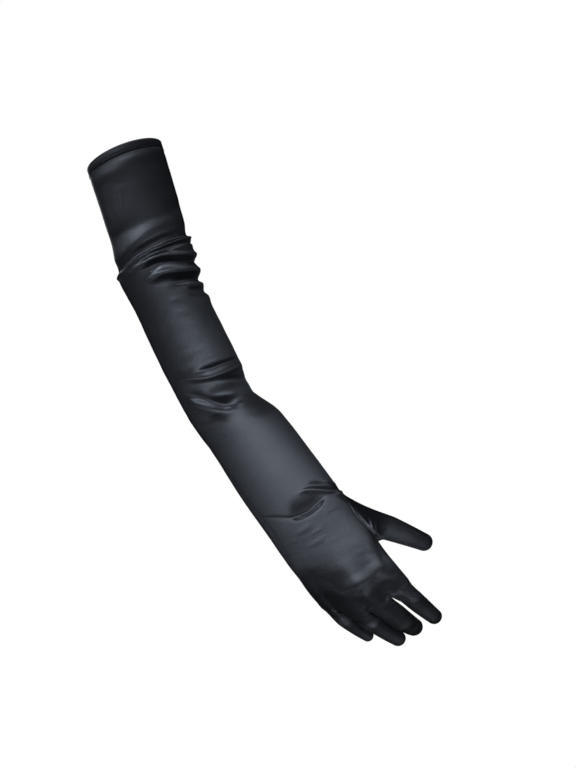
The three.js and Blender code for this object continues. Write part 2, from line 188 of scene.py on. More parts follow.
@dataclass(frozen=True)
class Cut:
    """A piece of cloth as cut, before it is stretched: width and length in mm, area in square mm."""

    width: float
    length: float
    area: float


@dataclass(frozen=True)
class SatinFinish:
    """Finish of the satin: linear colours, sizes in mm and shares."""

    shade: tuple[float, float, float] = (0.002, 0.002, 0.003)
    bloom: tuple[float, float, float] = (0.008, 0.0085, 0.0105)
    roughness: float = 0.47
    roughness_spread: float = 0.07
    anisotropy: float = 0.85
    specular: float = 0.55
    specular_tint: tuple[float, float, float] = (0.75, 0.84, 1.0)
    patches_each_metre: float = 60
    patch_share: float = 0.55
    grain_size: float = 1.6
    grain_share: float = 0.45
    grain_depth: float = 0.25
    grain_strength: float = 0.5
    noise_detail: float = 3
    rib_pitch: float = 1.1
    rib_height: float = 0.02
    rib_strength: float = 0.25
    rib_waviness: float = 1.5


@dataclass(frozen=True)
class Light:
    """A square light: its place, aim and side in metres, its power in watts and its beam in degrees."""

    name: str
    place: tuple[float, float, float]
    aim: tuple[float, float, float]
    size: float
    watts: float
    beam: float


LIGHTS = (
    Light("key", (0.1, -0.8, -0.37), (-0.03, 0.0, -0.36), 0.4, 0.54, 40),
    Light("middle", (0.05, -0.8, 0.06), (-0.02, 0.0, -0.2), 0.25, 0.045, 36),
    Light("top", (0.05, -1.2, 1.3), (-0.02, 0.0, -0.12), 0.25, 0.5, 32),
    Light("elbow", (0.15, -0.9, 0.9), (-0.01, 0.0, -0.165), 0.15, 0.055, 12),
    Light("outer_elbow", (-0.45, -0.8, 0.6), (-0.05, 0.0, -0.12), 0.12, 0.01, 8),
    Light("hand", (0.35, -0.7, -0.75), (-0.02, 0.0, -0.46), 0.25, 0.025, 30),
    Light("fingers", (0.0, -0.6, -1.15), (0.0, 0.0, -0.53), 0.25, 0.05, 20),
    Light("back", (-0.2, 1.3, 0.3), (0.0, 0.0, -0.3), 0.6, 3.5, 70),
    Light("floor", (0.1, 0.3, -0.55), (0.0, 0.0, -1.13), 0.4, 1.0, 110),
)
WORLD_STRENGTH = 0.02
WORLD_COLOUR = (0.9, 0.95, 1, 1)
BACKDROP_COLOUR = (1, 1, 1, 1)
FLOOR_COLOUR, FLOOR_ROUGHNESS = (0.9, 0.9, 0.9), 0.9
FLOOR_HALF_SIDE, FLOOR_DROP = 0.25, 0.6

SLEEVE_LENGTH, HAND_LENGTH = 371.0, 101.0
ARM_WIDTH, ARM_DEPTH = 72.0, 70.0
PALM_WIDTH, PALM_DEPTH = 80.0, 34.0
HAND_ARCH, ARCH_TOP, FORK_FADE, FORK_DIP = 12.0, 0.3, 0.3, 2.5
HEM_HEIGHT = 8.0
FINGER_DEPTH = 0.9
JOINTS, JOINT_REACH = (0.42, 0.72), 0.1
BOXY_ACROSS, BOXY_DEEP = 0.15, 0.25
TRUNK_LENGTH = SLEEVE_LENGTH + HAND_LENGTH

SLEEVE = (
    Section(0, 0, 0, 1.02, 0.97, 9, -11, 0),
    Section(0.127, -0.163, -0.11, 1.0, 0.97, 12, -9, 0),
    Section(0.238, -0.325, -0.19, 0.965, 0.95, 11, -6, 0),
    Section(0.286, -0.401, -0.21, 0.985, 0.96, 10, -3, 0),
    Section(0.362, -0.474, -0.225, 0.925, 0.94, 7, 0, 0),
    Section(0.489, -0.548, -0.23, 0.94, 0.92, 3, 0, 0),
    Section(0.57, -0.586, -0.235, 0.937, 0.9, 1, 0, 0),
    Section(0.664, -0.631, -0.24, 0.892, 0.88, 0, 0, 0.1),
    Section(0.745, -0.542, -0.245, 1.008, 0.82, -1, 0, 0.2),
    Section(0.869, -0.505, -0.255, 1.075, 0.73, -2, 0, 0.4),
    Section(1, -0.46, -0.27, 1.09, 0.62, -4, 0, 0.7),
)
HAND = (
    Section(0.26, 0.022, 0, 0.995, 1.16, -3, 0, 0.9),
    Section(0.45, 0.045, -0.03, 1.0, 1.04, -2, 0, 1),
    Section(0.65, 0.054, -0.05, 1.01, 0.94, 0, 0, 1),
    Section(0.83, 0.072, -0.01, 1.03, 0.86, 0, 10, 1),
    Section(1, 0.094, 0.26, 1.04, 0.76, 0, 20, 1),
)
FORKS = (Fork(163, -0.19), Fork(139, -0.135), Fork(100, 0.01), Fork(60, -0.01), Fork(20, 0.0))
# Stretches of the row of forks, on the back and in the palm, that have a valley above each fork.
VALLEYS = ((0.5, 3.5), (5.5, 8.5))
# Angles round a finger's foot: its back, its side to the thumb, its palm and its other side lie between them.
RING_CORNERS = (140, 40, -40, -140, -220)
# The side strips, from the one between the little and the ring finger on.
STRIPS = (Piece.fourchette_ring_little, Piece.fourchette_middle_ring, Piece.fourchette_index_middle)
FINGERS = (
    Finger(61, 15.5, 17, 5, 17, 14, 10, 0.72),
    Finger(74, 20, 22, 0, 18, 16, 10, 0.74),
    Finger(82, 24, 18, 0, 24, 32, 12, 0.7),
    Finger(68, 20.5, 16, 0, 20, 20, 10, 0.72),
)
THUMB = Finger(90, 31, 39.5, -6, 6, 8, 4, 0.54, pinch=0.3, loft=0.5)
THUMB_HOLE_LENGTH, THUMB_HOLE_DROP, THUMB_SINK = 50.0, 3.0, 6.0
THUMB_RISE, HOLE_SWELL, HOLE_SPREAD = 0.33, 1.1, 2.0
HOLE_FIRST, HOLE_LAST, HOLE_MIDDLE = 13, 18, 15.1

SIDE_COLUMNS = 12
CAD_SIDE_COLUMNS = 3
ROW_STEPS = ((0.23, 1.9), (0.46, 1.1), (0.54, 1.9), (0.72, 1.35), (0.93, 1.9), (1.0, 1.2))
HEM_ROWS, HOLE_STEP, HAND_STEP = 6, 1.35, 1.6
FINGER_ROWS, TIP_ROWS = 38, 9

CAMERA_DISTANCE = 1500.0
CAMERA_ROLL = math.radians(32)
PHOTO_CENTRE = (17.1, -259.8)
PHOTO_HEIGHT = 707.5
MIDDLE_DEPTH = -15.0
LONG_SIDE_SENSOR = 36.0

# The folds' points are shifted and scaled like this to the camera's plane at the middle depth.
VIEW_SHIFT, VIEW_SCALE = (2.0, 6.5), 0.94

FOLDS = (
    # Upper sleeve: soft rings, and the swell above the elbow.
    Fold(((-42, -15), (0, -15), (36, -25)), 0.5, 5, 7, wrap=(30, 30)),
    Fold(((-56, -72), (-16, -70.5), (18, -78)), -0.8, 5, 7, wrap=(40, 40)),
    Fold(((-62, -91), (-22, -88.5), (12, -95)), 1.5, 9, 5, wrap=(60, 50)),
    # Elbow: five gathers that start near the outer side and run down to the inner bend.
    Fold(
        ((-66, -105.5), (-62, -102.6), (-55, -101.2), (-45, -100.5), (-30, -101), (-20, -102.2),
         (-10, -103.5), (0, -105.5), (10, -109.5)),
        1.6, 1.6, 1.6, 0.12, (45, 60),
    ),
    Fold(((-66, -106), (-45, -101.5), (-20, -103), (10, -110)), 2.0, 2.4, 22, 0.15, (45, 60)),
    Fold(((-64, -102.4), (-45, -99), (-20, -100.3), (8, -106)), -2.2, 8, 1.2, 0.2, (30, 40)),
    Fold(((-66, -105), (-68, -112), (-69.5, -122)), 1.2, 2.4, 2.4, 0.4),
    Fold(
        ((-54, -105.6), (-36, -103.4), (-15, -106.5), (2, -111), (9, -115)),
        -1.9, 1.7, 2.0, 0.3, (10, 55),
    ),
    Fold(
        ((-52, -111.5), (-44, -108.5), (-36, -107.8), (-27, -109.2), (-20, -112), (-10, -118), (0, -124),
         (5.5, -126.5)),
        2.7, 3.0, 3.2, 0.2, (0, 60),
    ),
    Fold(((-50, -117), (-34, -115), (-22, -118.5), (-10, -125), (2, -132.5)), -1.6, 3.2, 3.0, 0.3, (0, 50)),
    Fold(
        ((-54, -126.5), (-40, -124.5), (-32, -125), (-25, -127.5), (-15, -132.5), (-6, -137.5), (3, -142)),
        3.1, 3.2, 5.4, 0.25, (0, 60),
    ),
    Fold(((-36, -135.5), (-20, -142), (-8, -148), (-2, -151)), -2.2, 5, 2.6, 0.3, (0, 45)),
    Fold(((-28, -142), (-20, -144.5), (-10, -150), (-3, -154)), 1.5, 2.6, 4.6, 0.3, (0, 50)),
    Fold(((-24, -152), (-14, -156.5), (-5, -161)), -1.4, 3.4, 3.2, 0.35, (0, 40)),
    Fold(((-20, -162), (-12, -165), (-5, -169)), 1.3, 3.6, 5, 0.35, (0, 50)),
    # Inner bend only: short bulges between the gathers.
    Fold(((-8, -109.5), (0, -113), (9, -117)), 1.0, 1.5, 1.5, 0.3, (0, 45)),
    Fold(((-12, -126), (-4, -131.5), (3, -136)), 0.8, 1.6, 1.6, 0.3, (0, 30)),
    # Forearm: three pulls that run to the notch on the inner side.
    Fold(
        ((-60, -225), (-48, -228), (-38, -230.7), (-28, -232.5), (-14.5, -236)),
        -1.8, 2.8, 4.0, 0.3, (0, 25),
    ),
    Fold(
        ((-72, -223), (-60, -229), (-50, -234), (-40, -237.5), (-30, -239.5), (-13, -242)),
        1.7, 4.6, 3.4, 0.3, (20, 30),
    ),
    Fold(
        ((-50, -240), (-44, -243.5), (-36, -247), (-30, -249.5), (-22, -253), (-15, -256.5)),
        -1.6, 3.4, 5.5, 0.4, (0, 20),
    ),
    Fold(((-58, -250), (-44, -257), (-34, -262), (-26, -265.5)), 1.5, 8, 4.5, 0.35),
    Fold(
        ((-72, -241), (-66, -248), (-58, -257), (-50, -266), (-43, -270.5), (-34, -271.5)),
        -2.8, 4.6, 2.4, 0.3, (10, 0),
    ),
    Fold(((-76, -246), (-70, -253), (-60, -264), (-52, -274), (-46, -280)), 1.7, 3.2, 6, 0.35, (15, 0)),
    Fold(((-38, -273.5), (-30, -275)), 0.5, 1.4, 1.6, 0.5),
    Fold(((-28, -264), (-20, -268.5), (-12, -271)), -0.8, 4, 4, 0.4, (0, 30)),
    # Wrist: the tuck across the back of it, and the pull from the thumb's root.
    Fold(
        ((-74, -381), (-65, -386.5), (-56, -393), (-48, -397.3), (-34, -400.3), (-22, -398.4),
         (-13, -395.6), (-8.5, -392.4)),
        -0.7, 0.9, 1.1, 0.3, (20, 0),
    ),
    Fold(((-54, -395), (-44, -398), (-34, -399.5), (-20, -397.5), (-10, -394)), -2.3, 10, 2.2, 0.3),
    Fold(
        ((-33, -378.5), (-24.7, -379.7), (-19, -383), (-13.3, -387), (-6.5, -392), (0.3, -396.7),
         (5, -401)),
        1.5, 1.6, 1.8, 0.22, (0, 20),
    ),
    Fold(((-22, -376), (-12, -381.5), (-2, -389), (3, -394)), -1.1, 2.4, 2.2, 0.3, (0, 25)),
    Fold(((-6, -380), (-2, -384), (2, -388)), 0.8, 1.6, 1.6, 0.4, (0, 20)),
    # Back of the hand: knuckles, and the fine ladder of wrinkles below the wrist.
    Fold(((-50, -482), (-39, -486), (-29, -485), (-18, -487), (-9, -485), (8, -480)), 1.0, 9, 3.4, 0.2),
    Fold(((-62, -411), (-46, -412.5), (-34, -411)), 0.14, 1.6, 1.8, 0.4),
    Fold(((-52, -419), (-36, -420.5), (-24, -419)), 0.14, 1.6, 1.8, 0.4),
    Fold(((-58, -428), (-42, -429.5), (-28, -428)), 0.12, 1.8, 2, 0.4),
    Fold(((-22, -408), (-12, -409.5), (-2, -408)), 0.12, 1.8, 2, 0.4),
    # Thumb: small pulls at its root, and a streak near its tip.
    Fold(((11.6, -449), (13.5, -442), (17, -434)), 1.2, 1.3, 1.5, 0.4),
    Fold(((13.5, -452), (17, -444), (21, -438)), 1.0, 1.3, 1.5, 0.4),
    # Forks: the tip of the side strip stands out, with a groove round it.
    Fold(((-34.5, -512.5), (-33, -515)), 1.6, 1.3, 1.3, 0.5),
    Fold(((-37.5, -518), (-37, -512), (-34, -509.5), (-31, -511), (-29.5, -516)), -1.5, 1.0, 1.0, 0.3),
    Fold(((-12, -512.5), (-10, -515)), 1.6, 1.3, 1.3, 0.5),
    Fold(((-15, -518), (-14, -512), (-11, -509.5), (-6, -511), (-4, -515)), -1.5, 1.0, 1.0, 0.3),
    Fold(((-67, -495), (-60, -497.5)), 1.3, 2.2, 2.2, 0.5),
    Fold(((44, -470), (47.5, -475), (52, -481)), 0.7, 1.4, 1.6, 0.4),
    # Fingers: bends over the middle joints and the tips.
    Fold(((-23.5, -535.5), (-17, -534.5), (-11.5, -533.5)), 0.5, 4, 2.2, 0.3),
    Fold(((3.5, -529), (10, -530), (17, -528.5)), 0.4, 3.4, 2.2, 0.3),
    Fold(((-44, -529), (-38, -530.5), (-31, -531)), 0.4, 3.4, 2.2, 0.3),
    Fold(((-13, -554), (-6, -553.5), (2, -550)), 0.9, 1.3, 1.6, 0.35),
    Fold(((11.5, -552), (15, -555.5), (19, -557.5)), 0.6, 1.2, 1.4, 0.4),
)


ROUGHENINGS = (
    Roughening(0, 0.12), Roughening(70, 0.16), Roughening(95, 0.3), Roughening(138, 0.25),
    Roughening(158, 0.1),
    Roughening(215, 0.22), Roughening(275, 0.22), Roughening(300, 0.05), Roughening(365, 0.06),
    Roughening(385, 0.1), Roughening(425, 0.1), Roughening(460, 0.06), Roughening(TRUNK_LENGTH, 0.06),
)
WRINKLE_LAYERS = (
    Wrinkles(2 * 16.0, 3 * 4.2, 0.02, 0.9, 5),
    Wrinkles(16.0, 4.2, 0.05, 0.6, 8),
)
NOISE_SIZE, NOISE_START = 256, 40
SEAM_GROOVE_AT, SEAM_GROOVE_WIDTH, SEAM_DEPTH = 1.3, 0.8, 0.5
SEAM_RISE, SEAM_RISE_WIDTH, SEAM_PUCKER, PUCKER_STEP = 0.1, 0.6, 0.35, 2.1
SEAM_REACH, SEAM_STEP = 5.0, 1.2
# The seam that closes the trank on the outer side: distance down, and angle round the section.
OUTSEAM = ((0, 166), (190, 163), (291, 160), (364, 150), (385, 154), (410, 170), (466, 176))

CLOTH_WALL, HEM_WALL = Wall(0.7, 0.0, 0.1), Wall(1.2, 0.25, 0.05)


def smooth(t: Array | float) -> Array:
    """Smooth step: 0 below 0, 1 above 1 and a smooth rise between."""
    kept = np.clip(t, 0, 1)
    return kept * kept * (3 - 2 * kept)


def signed_power(value: Array, power: Array | float) -> Array:
    """The sign of a value times its size to a power."""
    return np.sign(value) * np.abs(value) ** power


def hermite(a: Array, da: Array, b: Array, db: Array, t: Array) -> Array:
    """Cubic from a to b with the slopes da and db at its ends, at t from 0 to 1."""
    s = 1 - t
    return a * s * s * (1 + 2 * t) + da * t * s * s + b * t * t * (3 - 2 * t) - db * t * t * s


def along(places: Array, values: Array, at: Array) -> Array:
    """Smooth curve through a table's rows, with slopes from the two neighbours of each row.

    Args:
        places: where each row lies, rising.
        values: each row's value.
        at: where the curve is read.

    Returns:
        the curve's values.
    """
    i = np.clip(np.searchsorted(places, at, side="left") - 1, 0, len(places) - 2)
    row = np.arange(len(places))
    before, after = np.maximum(row - 1, 0), np.minimum(row + 1, len(places) - 1)
    slope = (values[after] - values[before]) / (places[after] - places[before])
    gap = places[i + 1] - places[i]
    return hermite(values[i], slope[i] * gap, values[i + 1], slope[i + 1] * gap, (at - places[i]) / gap)


def unit(v: Array) -> Array:
    """Vectors in the last axis, made one long."""
    return v / np.maximum(np.linalg.norm(v, axis=-1, keepdims=True), 1e-12)


def noise(across: Array, down: Array, seed: int) -> Array:
    """Smooth random heights: random values on a square grid, blended between its corners.

    Args:
        across: first coordinate in grid steps.
        down: second coordinate in grid steps.
        seed: chooses the random values.

    Returns:
        heights between -1 and 1.
    """
    values = np.random.default_rng(seed).uniform(-1, 1, (NOISE_SIZE, NOISE_SIZE))
    i, j = np.floor(across).astype(int), np.floor(down).astype(int)
    u, v = smooth(across - i), smooth(down - j)

    def corner(a: int, b: int) -> Array:
        return values[(i + a) % NOISE_SIZE, (j + b) % NOISE_SIZE]

    top = corner(0, 0) * (1 - u) + corner(1, 0) * u
    bottom = corner(0, 1) * (1 - u) + corner(1, 1) * u
    return top * (1 - v) + bottom * v


class Trunk:
    """The sleeve and the hand as an oval that changes along their length."""

    def __init__(self) -> None:
        wrist = (SLEEVE_LENGTH, SLEEVE[-1].across * ARM_WIDTH, SLEEVE[-1].back * ARM_DEPTH)
        parts = (
            (SLEEVE, (0, 0, 0), SLEEVE_LENGTH, ARM_WIDTH, ARM_DEPTH),
            (HAND, wrist, HAND_LENGTH, PALM_WIDTH, PALM_DEPTH),
        )
        rows = [
            (start[0] + s.at * length, start[1] + s.across * width, start[2] + s.back * depth, s.wide * width,
             s.deep * depth, s.lean, s.pitch, s.boxy)
            for sections, start, length, width, depth in parts
            for s in sections
        ]
        names = [f.name for f in fields(Section)]
        self.stations = {name: np.array(column, float) for name, column in zip(names, zip(*rows))}
        angles = [f.angle for f in FORKS]
        self.sides = np.array([*angles, *[-a for a in reversed(angles)], angles[0] - 360], float)
        self.columns = (len(self.sides) - 1) * SIDE_COLUMNS

    def angle_of(self, column: Array) -> Array:
        """Angle in degrees round the section of a column of the CAD's grid, not always whole."""
        return np.interp(column, np.arange(len(self.sides)) * CAD_SIDE_COLUMNS, self.sides)

    def at(self, angle_deg: Array, down: Array) -> Array:
        """Points of the outer face, before any fold.

        Args:
            angle_deg: angle round the section, 90 at the middle of the back.
            down: distance from the rim.

        Returns:
            points in mm.
        """
        value = {name: along(self.stations["at"], column, down) for name, column in self.stations.items()}
        angle, lean, pitch = np.radians(angle_deg), np.radians(value["lean"]), np.radians(value["pitch"])
        across = signed_power(np.cos(angle), 1 + BOXY_ACROSS * value["boxy"]) * value["wide"] / 2
        near_fork = smooth(((down - SLEEVE_LENGTH) / HAND_LENGTH - FORK_FADE) / (1 - FORK_FADE))
        dip = FORK_DIP * near_fork**2 * self.fork_valley(angle_deg) * np.sign(np.sin(angle))
        out = signed_power(np.sin(angle), 1 - BOXY_DEEP * value["boxy"]) * value["deep"] / 2 - dip
        arch = HAND_ARCH * near_fork * ((np.cos(angle) - ARCH_TOP) / (1 + ARCH_TOP)) ** 2
        return np.stack(
            [
                value["across"] + np.cos(lean) * across,
                value["back"] - np.cos(pitch) * out + arch,
                -down - np.sin(lean) * across - np.sin(pitch) * out - near_fork * self.fork_reach(angle),
            ],
            axis=-1,
        )

    def fork_valley(self, angle_deg: Array) -> Array:
        """How deep the valley above the forks is.

        Args:
            angle_deg: angle round the section.

        Returns:
            1 at each fork's angle and 0 between them and at the sides.
        """
        finger = np.interp(-np.asarray(angle_deg, float), -self.sides, np.arange(len(self.sides)))
        near = np.any([(finger > low) & (finger < high) for low, high in VALLEYS], axis=0)
        return np.where(near, np.cos(np.pi * finger) ** 2, 0)

    def fork_reach(self, angle: Array) -> Array:
        """How far the row of forks is pushed on.

        Args:
            angle: angle in radians.

        Returns:
            the push in mm, the same on the back and in the palm.
        """
        places = np.array([-f.angle for f in FORKS], float)
        kept = np.clip(-np.degrees(np.arccos(np.clip(np.cos(angle), -1, 1))), places[0], places[-1])
        return along(places, np.array([f.reach for f in FORKS]), kept) * HAND_LENGTH


class FingerTube:
    """A finger as an oval tube along a bent axis that ends in a round tip."""

    STEPS = 400

    def __init__(self, finger: Finger, foot: Array) -> None:
        self.finger, self.foot = finger, foot
        share = (np.arange(self.STEPS) + 0.5) / self.STEPS
        steps = self.directions(share)[0] * finger.length / self.STEPS
        self.path = foot + np.vstack([np.zeros(3), np.cumsum(steps, axis=0)])
        self.tip = 1 - 0.5 * finger.taper * finger.width / finger.length

    def directions(self, share: Array) -> tuple[Array, Array, Array]:
        """Directions of the axis.

        Args:
            share: places along the finger from 0 to 1.

        Returns:
            unit vectors ahead, to the thumb's side, and out of the back.
        """
        f = self.finger
        middle, last = (smooth((share - joint + JOINT_REACH) / (2 * JOINT_REACH)) for joint in JOINTS)
        pitch = np.radians(f.pitch + f.middle * middle + f.last * last)
        yaw = np.radians(f.yaw + f.turn * share)
        ahead = np.stack([np.sin(yaw) * np.cos(pitch), np.sin(pitch), -np.cos(yaw) * np.cos(pitch)], axis=-1)
        side = np.stack([np.cos(yaw), 0 * yaw, np.sin(yaw)], axis=-1)
        return ahead, side, np.cross(ahead, side)

    def ring(self, share: Array, angles: Array) -> Array:
        """Rings of the tube.

        Args:
            share: places along the finger.
            angles: angles round it in radians.

        Returns:
            points by place and angle, in mm.
        """
        f = self.finger
        _, side, back = self.directions(share)
        places = np.arange(self.STEPS + 1) / self.STEPS
        axis = np.stack([np.interp(share, places, self.path[:, k]) for k in range(3)], axis=-1)
        taper = 1 + (f.taper - 1) * np.minimum(share / self.tip, 1)
        inside = np.clip((share - self.tip) / (1 - self.tip), 0, 1)
        half = (f.width * taper * np.sqrt(np.maximum(0, 1 - inside**2)) / 2)[:, None, None]
        return (
            axis[:, None]
            + half * np.cos(angles)[None, :, None] * side[:, None]
            + half * FINGER_DEPTH * np.sin(angles)[None, :, None] * back[:, None]
        )

    def skin(self, start: Array, angles: Array, leave: Array, share: Array) -> Array:
        """Rings from the foot on: first a cubic from the ring of the foot to the tube, then the tube.

        Args:
            start: ring of points at the foot.
            angles: angle of each of them, in radians.
            leave: direction in which the cloth leaves the hand.
            share: places along the finger.

        Returns:
            points by place and angle, in mm.
        """
        f = self.finger
        loft = np.array([f.loft])
        end = self.ring(loft, angles)[0]
        reach = np.linalg.norm(end - start, axis=1, keepdims=True)
        side = self.directions(np.array([0.0]))[1]
        going = leave - f.pinch * np.cos(angles)[:, None] * side
        coming = self.directions(loft)[0]
        t = np.clip(share / f.loft, 0, 1)[:, None, None]
        lofted = hermite(start, going * reach, end, coming * reach, t)
        return np.where((share >= f.loft)[:, None, None], self.ring(share, angles), lofted)


def ring_faces(rows: Array) -> Array:
    """Four corners of each face between rows of points that close to rings."""
    after = np.roll(rows, -1, axis=1)
    return np.stack([rows[:-1], rows[1:], after[1:], after[:-1]], axis=-1)


def face_places(across: Array, down: Array) -> Array:
    """Places on the cloth of such faces' corners. across has the first column again at its end."""
    at = np.stack(np.broadcast_arrays(across[None], down[:, None]), axis=-1)
    return np.stack([at[:-1, :-1], at[1:, :-1], at[1:, 1:], at[:-1, 1:]], axis=-2)


class Surface:
    """The outer face of the whole glove: shared points, faces that name their piece, and a cloth coordinate.

    The sleeve and the hand are one grid of columns round it and rows down it, bent to an oval hole at the
    thumb. A finger's rows go on from its share of the last row and from points across the forks.
    """

    def __init__(self) -> None:
        self.trunk = Trunk()
        self.points: list[Array] = []
        self.count = 0
        self.quads: list[Array] = []
        self.quad_piece: list[Array] = []
        self.cloth: list[Array] = []
        self.rows = self._rows()
        self._trunk_grid()
        self._fingers()
        self._thumb()
        self.verts = np.vstack(self.points)
        self.faces = np.vstack(self.quads)
        self.face_piece = np.concatenate(self.quad_piece)
        self.face_cloth = np.vstack(self.cloth)

    def _add(self, points: Array) -> Array:
        """Adds points and returns their numbers in the same layout."""
        flat = points.reshape(-1, 3)
        self.points.append(flat)
        numbers = np.arange(self.count, self.count + len(flat)).reshape(points.shape[:-1])
        self.count += len(flat)
        return numbers

    def _add_faces(self, corners: Array, piece: Array, cloth: Array) -> None:
        """Adds faces of four corners, with their pieces' numbers and their corners' places on the cloth."""
        self.quads.append(corners.reshape(-1, 4))
        self.quad_piece.append(piece.ravel())
        self.cloth.append(cloth.reshape(-1, 4, 2))

    def _rows(self) -> Array:
        """Distances down of the rows, with the thumb's hole between two of them."""
        downs = list(np.linspace(0, HEM_HEIGHT, HEM_ROWS + 1))

        def go_on(to: float, step: float) -> int:
            count = max(1, round((to - downs[-1]) / step))
            downs.extend(np.linspace(downs[-1], to, count + 1)[1:])
            return len(downs) - 1

        for share, step in ROW_STEPS:
            go_on(share * SLEEVE_LENGTH, step)
        self.hole_top = SLEEVE_LENGTH + THUMB_HOLE_DROP
        self.hole_bottom = self.hole_top + THUMB_HOLE_LENGTH
        self.first_hole_row = go_on(self.hole_top, HOLE_STEP)
        self.last_hole_row = go_on(self.hole_bottom, HOLE_STEP)
        go_on(TRUNK_LENGTH, HAND_STEP)
        return np.array(downs)

    def _bent(self, column: Array, down: Array) -> tuple[Array, Array, Array, Array]:
        """Bends the grid round the thumb's hole; also gives the place measured from the hole's middle."""
        middle, half = (HOLE_FIRST + HOLE_LAST) / 2, (HOLE_LAST - HOLE_FIRST) / 2
        middle_down, half_down = (self.hole_top + self.hole_bottom) / 2, THUMB_HOLE_LENGTH / 2
        a, b = (column - middle) / half, (down - middle_down) / half_down
        square = np.maximum(np.abs(a), np.abs(b))
        ease = smooth((HOLE_SPREAD - square) / (HOLE_SPREAD - 1))
        oval = 1 + ease * (HOLE_SWELL * square / np.maximum(np.hypot(a, b), 1e-9) - 1)
        moved = middle + ease * (HOLE_MIDDLE - middle)
        near = square < HOLE_SPREAD
        bent_column = np.where(near, moved + a * oval * half, column)
        return bent_column, np.where(near, middle_down + b * oval * half_down, down), a, b

    def _trunk_grid(self) -> None:
        """Adds the sleeve and the hand, without the faces in the thumb's hole."""
        fine = SIDE_COLUMNS // CAD_SIDE_COLUMNS
        number = np.arange(self.trunk.columns)
        column, down = np.meshgrid(number / fine, self.rows)
        bent_column, bent_down, a, b = self._bent(column, down)
        self.hole_a, self.hole_b = a, b
        angle = self.trunk.angle_of(bent_column)
        self.grid_points = self.trunk.at(angle, bent_down)
        self.grid = self._add(self.grid_points)
        self.grid_angle, self.grid_down = angle, bent_down
        corners = ring_faces(self.grid)
        turn = np.radians(self.trunk.angle_of(np.arange(self.trunk.columns + 1) / fine))
        cloth = face_places(-turn * ARM_WIDTH / 2, self.rows)
        piece = np.full(corners.shape[:2], Piece.trank.value)
        piece[:HEM_ROWS] = Piece.top_hem.value
        self.first_hole, self.last_hole = HOLE_FIRST * fine, HOLE_LAST * fine
        keep = np.ones(corners.shape[:2], bool)
        keep[self.first_hole_row : self.last_hole_row, self.first_hole : self.last_hole] = False
        self._add_faces(corners[keep], piece[keep], cloth[keep])

    def _skin_finger(
        self, tube: FingerTube, ring: Array, angles: Array, leave: Array, cloth_from: float,
        sides: Sequence[Piece],
    ) -> None:
        """Adds a finger's rows and its tip.

        Args:
            tube: the finger.
            ring: numbers of the points at its foot.
            angles: angle of each of them, in radians.
            leave: direction in which the cloth leaves the hand.
            cloth_from: where the cloth's coordinate down starts.
            sides: pieces of its sides round the ring, the first one also that of the tip.
        """
        ends = np.sin(np.pi / 2 * (np.arange(TIP_ROWS) + 1) / (TIP_ROWS + 1))
        straight = tube.tip * (np.arange(FINGER_ROWS) + 1) / FINGER_ROWS
        share = np.concatenate([straight, tube.tip + (1 - tube.tip) * ends])
        start = np.vstack(self.points)[ring]
        corners = ring_faces(np.vstack([ring, self._add(tube.skin(start, angles, leave, share))]))
        round_it = np.array([side.value for side in sides])[np.arange(len(ring)) * len(sides) // len(ring)]
        tip = sides[0].value
        piece = np.where((np.arange(len(share)) < FINGER_ROWS)[:, None], round_it, tip)
        opened = np.unwrap(np.append(angles, angles[0] + 2 * np.pi * np.sign(angles[1] - angles[0] + 1e-9)))
        down = cloth_from + np.append(0, share) * tube.finger.length
        cloth = face_places(-opened * tube.finger.width / 2, down)
        self._add_faces(corners, piece, cloth)
        pole = self._add(tube.ring(np.array([1.0]), np.array([0.0])))[0, 0]
        _, last, last_after, _ = corners[-1].T
        cap = np.stack([last, np.full(len(last), pole), last_after, last_after], axis=-1)
        self._add_faces(cap, np.full(len(last), tip), cloth[-1][:, [1, 1, 2, 2]])

    def _fingers(self) -> None:
        """Adds the four fingers, from the little one on, and the points across the forks."""
        n, last_row, columns = SIDE_COLUMNS, self.grid[-1], self.trunk.columns
        back = [i * n for i in range(len(FORKS))]
        palm = [columns - n * (i + 1) for i in range(len(FORKS))]
        between = np.arange(1, n)
        webs = [last_row[columns - between]]
        for on_back, in_palm in zip(back[1:-1], palm[1:-1]):
            a, b = self.grid_points[-1][on_back], self.grid_points[-1][in_palm]
            webs.append(self._add(a + (b - a) * (between / n)[:, None]))
        webs.append(last_row[back[-1] + between])
        angles = np.radians(np.interp(np.arange(4 * n) / n, np.arange(len(RING_CORNERS)), RING_CORNERS))
        strips = (Piece.trank, *STRIPS, Piece.trank)
        for i, finger in enumerate(FINGERS):
            upper = last_row[back[i] : back[i + 1] + 1]
            lower = last_row[palm[i + 1] : palm[i] + 1]
            ring = np.concatenate([upper, webs[i + 1], lower, webs[i][::-1]])
            foot = np.vstack(self.points)[ring].mean(axis=0)
            half_turned = FingerTube(replace(finger, yaw=finger.yaw / 2), foot)
            leave = half_turned.directions(np.array([0.0]))[0][0]
            sides = (Piece.trank, strips[i + 1], Piece.trank, strips[i])
            self._skin_finger(FingerTube(finger, foot), ring, angles, leave, TRUNK_LENGTH, sides)

